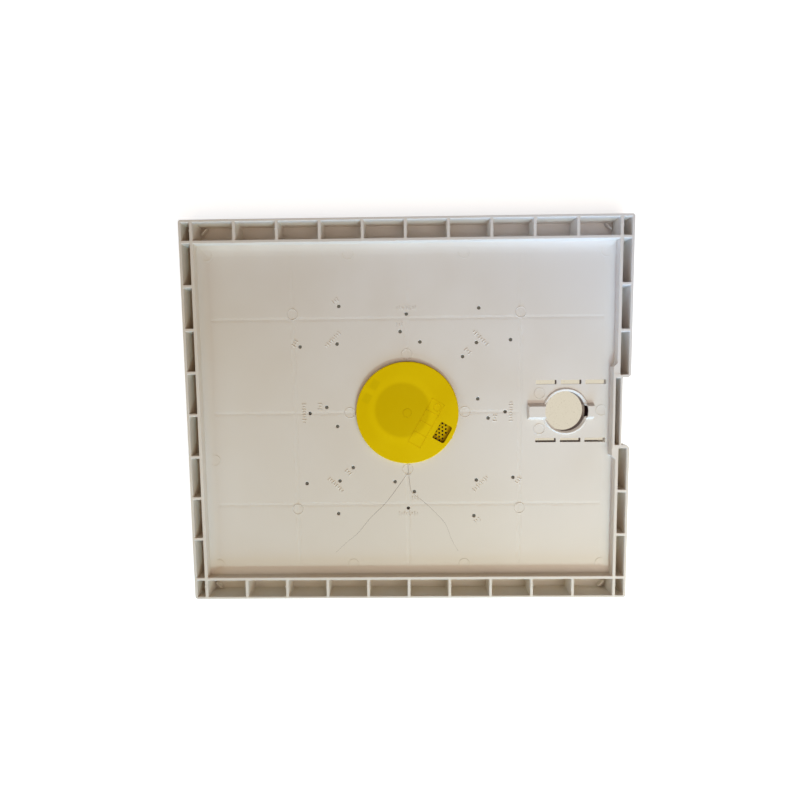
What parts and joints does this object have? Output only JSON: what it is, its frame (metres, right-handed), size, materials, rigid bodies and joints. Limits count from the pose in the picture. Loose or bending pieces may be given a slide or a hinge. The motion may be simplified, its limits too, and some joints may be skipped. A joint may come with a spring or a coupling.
{
  "type": "beehive inner cover with queen excluder disc",
  "caption": "Rectangular moulded beehive inner cover with open-cell rim, collared round port, bee slots and a turning disc that selects vent mesh, queen excluder, open passage or closed.",
  "frame": {"origin": "centre of the board's closed bottom plane, on the disc's pivot axis", "axes": "+Z towards the open-cell side that carries the disc, +X towards the notch and the round port, Y along the shorter side"},
  "size_m": [0.5, 0.432, 0.0254],
  "materials": {
    "board_plastic": "moulded, slightly satin, ivory white",
    "grille_plastic": "moulded, satin, yellow",
    "disc_plastic": "moulded, low gloss, yellow",
    "pin_plastic": "moulded, low gloss, yellow",
    "clip_steel": "bright spring steel"
  },
  "bodies": {
    "board": {"cover_board": "board_plastic", "grille_insert": "grille_plastic", "pivot_pin": "pin_plastic", "retaining_clip": "clip_steel"},
    "disc": {"selector_disc": "disc_plastic"}
  },
  "joints": [
    {"name": "disc_turn", "type": "hinge", "parent": "board", "child": "disc", "pos_m": [0, 0, 0.0172], "axis": [0, 0, 1], "continuous": true}
  ]
}
